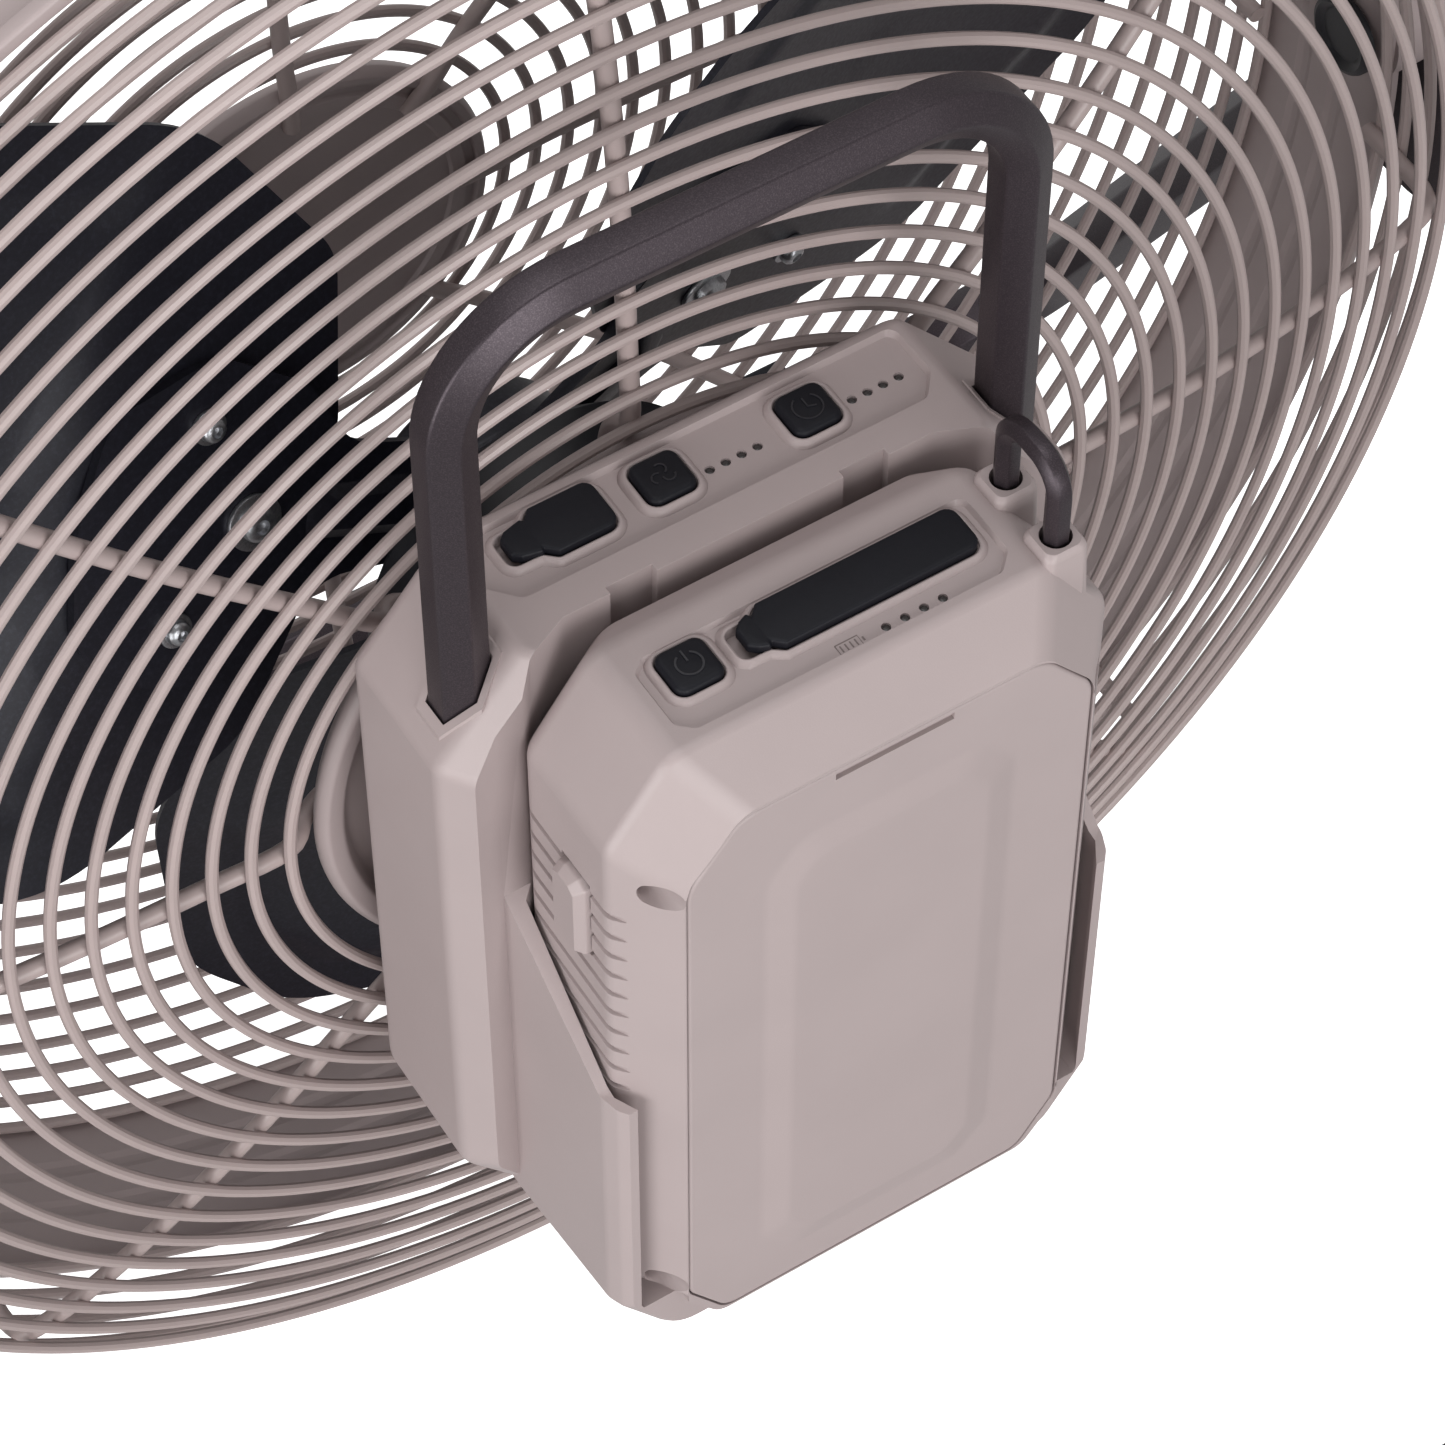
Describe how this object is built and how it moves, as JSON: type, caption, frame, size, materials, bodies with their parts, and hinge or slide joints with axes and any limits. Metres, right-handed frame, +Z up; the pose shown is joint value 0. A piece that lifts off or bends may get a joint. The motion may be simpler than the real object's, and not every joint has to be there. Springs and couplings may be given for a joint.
{
  "type": "cordless drum fan",
  "caption": "Wire-guarded drum fan head that tilts on a bent tube stand, with a carry handle and a lift-out battery pack at the back.",
  "frame": {"origin": "on the floor, below the middle of the bounding box", "axes": "+Z up, air leaves the front guard toward -Y, the battery pack is on the +Y side, +X is the left side seen from behind"},
  "size_m": [0.541, 0.392, 0.4841],
  "materials": {
    "taupe_plastic": "warm grey moulded plastic, fine texture",
    "guard_wire": "powder-coated steel wire, warm grey",
    "plum_metallic": "speckled dark plum metallic powder coat on steel tube",
    "black_rubber": "soft matt rubber",
    "black_plastic": "black moulded plastic",
    "dark_metal": "dark satin coated metal",
    "steel": "zinc-plated steel",
    "copper_winding": "enamelled copper winding",
    "circuit_board": "green circuit board",
    "lamp_plastic": "smoky clear light pipe"
  },
  "bodies": {
    "stand": {"stand_front_tube": "plum_metallic", "stand_rear_tube": "plum_metallic", "pivot_bracket_left": "plum_metallic", "pivot_bracket_right": "plum_metallic", "foot_front_left": "black_rubber", "foot_front_right": "black_rubber", "foot_rear_left": "black_rubber", "foot_rear_right": "black_rubber"},
    "knob_left": {"tilt_knob_left": "black_plastic"},
    "knob_right": {"tilt_knob_right": "black_plastic"},
    "head": {"drum_band": "taupe_plastic", "front_guard": "guard_wire", "front_badge": "taupe_plastic", "rear_guard": "guard_wire", "hub_plate": "taupe_plastic", "pivot_cap_left": "black_plastic", "pivot_cap_right": "black_plastic", "motor_case": "dark_metal", "motor_stator": "copper_winding", "bearing_rear": "steel", "bearing_front": "steel", "housing_shell": "taupe_plastic", "carry_handle": "plum_metallic", "handle_trim_left": "taupe_plastic", "handle_trim_right": "taupe_plastic", "control_board": "circuit_board", "speed_light_pipe": "lamp_plastic", "timer_light_pipe": "lamp_plastic", "dock_terminal": "black_plastic"},
    "speed_button": {"speed_button": "black_rubber"},
    "timer_button": {"timer_button": "black_rubber"},
    "dc_cover": {"dc_cover": "black_rubber"},
    "rotor": {"rotor_shaft": "steel", "magnet_ring": "steel", "spider_hub": "dark_metal", "blade_1": "dark_metal", "blade_1_bolt": "steel", "blade_1_screw_a": "steel", "blade_1_screw_b": "steel", "blade_2": "dark_metal", "blade_2_bolt": "steel", "blade_2_screw_a": "steel", "blade_2_screw_b": "steel", "blade_3": "dark_metal", "blade_3_bolt": "steel", "blade_3_screw_a": "steel", "blade_3_screw_b": "steel"},
    "battery": {"battery_shell": "taupe_plastic", "battery_cover": "taupe_plastic", "battery_cells": "black_plastic", "battery_light_pipe": "lamp_plastic", "battery_loop": "plum_metallic", "cover_screw_top_left": "steel", "cover_screw_bottom_left": "steel", "cover_screw_top_right": "steel", "cover_screw_bottom_right": "steel"},
    "power_button": {"power_button": "black_rubber"},
    "port_cover": {"port_cover": "black_rubber"},
    "latch_left": {"battery_latch_left": "taupe_plastic"},
    "latch_right": {"battery_latch_right": "taupe_plastic"}
  },
  "joints": [
    {"name": "head_tilt", "type": "hinge", "parent": "stand", "child": "head", "pos_m": [0, -0.0275, 0.272], "axis": [1, 0, 0], "range_deg": [-90, 90]},
    {"name": "knob_left_turn", "type": "hinge", "parent": "stand", "child": "knob_left", "pos_m": [0.26, -0.0275, 0.272], "axis": [1, 0, 0], "range_deg": [0, 350]},
    {"name": "knob_right_turn", "type": "hinge", "parent": "stand", "child": "knob_right", "pos_m": [-0.26, -0.0275, 0.272], "axis": [-1, 0, 0], "range_deg": [0, 350]},
    {"name": "rotor_spin", "type": "hinge", "parent": "head", "child": "rotor", "pos_m": [0, -0.033, 0.2526], "axis": [0, 1, 0], "continuous": true},
    {"name": "speed_press", "type": "slide", "parent": "head", "child": "speed_button", "axis": [0, 0, -1], "range_m": [0, 0.0015], "stiffness_N_per_m": 600, "springref_m": -0.0004},
    {"name": "timer_press", "type": "slide", "parent": "head", "child": "timer_button", "axis": [0, 0, -1], "range_m": [0, 0.0015], "stiffness_N_per_m": 600, "springref_m": -0.0004},
    {"name": "dc_cover_open", "type": "hinge", "parent": "head", "child": "dc_cover", "pos_m": [0.0208, 0.052, 0.3488], "axis": [0, -1, 0], "range_deg": [0, 95]},
    {"name": "battery_lift", "type": "slide", "parent": "head", "child": "battery", "axis": [0, 0, 1], "range_m": [0, 0.22]},
    {"name": "power_press", "type": "slide", "parent": "battery", "child": "power_button", "axis": [0, 0, -1], "range_m": [0, 0.0015], "stiffness_N_per_m": 600, "springref_m": -0.0004},
    {"name": "port_cover_open", "type": "hinge", "parent": "battery", "child": "port_cover", "pos_m": [-0.0342, 0.0944, 0.3493], "axis": [0, -1, 0], "range_deg": [0, 95]},
    {"name": "latch_left_press", "type": "slide", "parent": "battery", "child": "latch_left", "axis": [-1, 0, 0], "range_m": [0, 0.002], "stiffness_N_per_m": 900, "springref_m": -0.0004},
    {"name": "latch_right_press", "type": "slide", "parent": "battery", "child": "latch_right", "axis": [1, 0, 0], "range_m": [0, 0.002], "stiffness_N_per_m": 900, "springref_m": -0.0004}
  ]
}
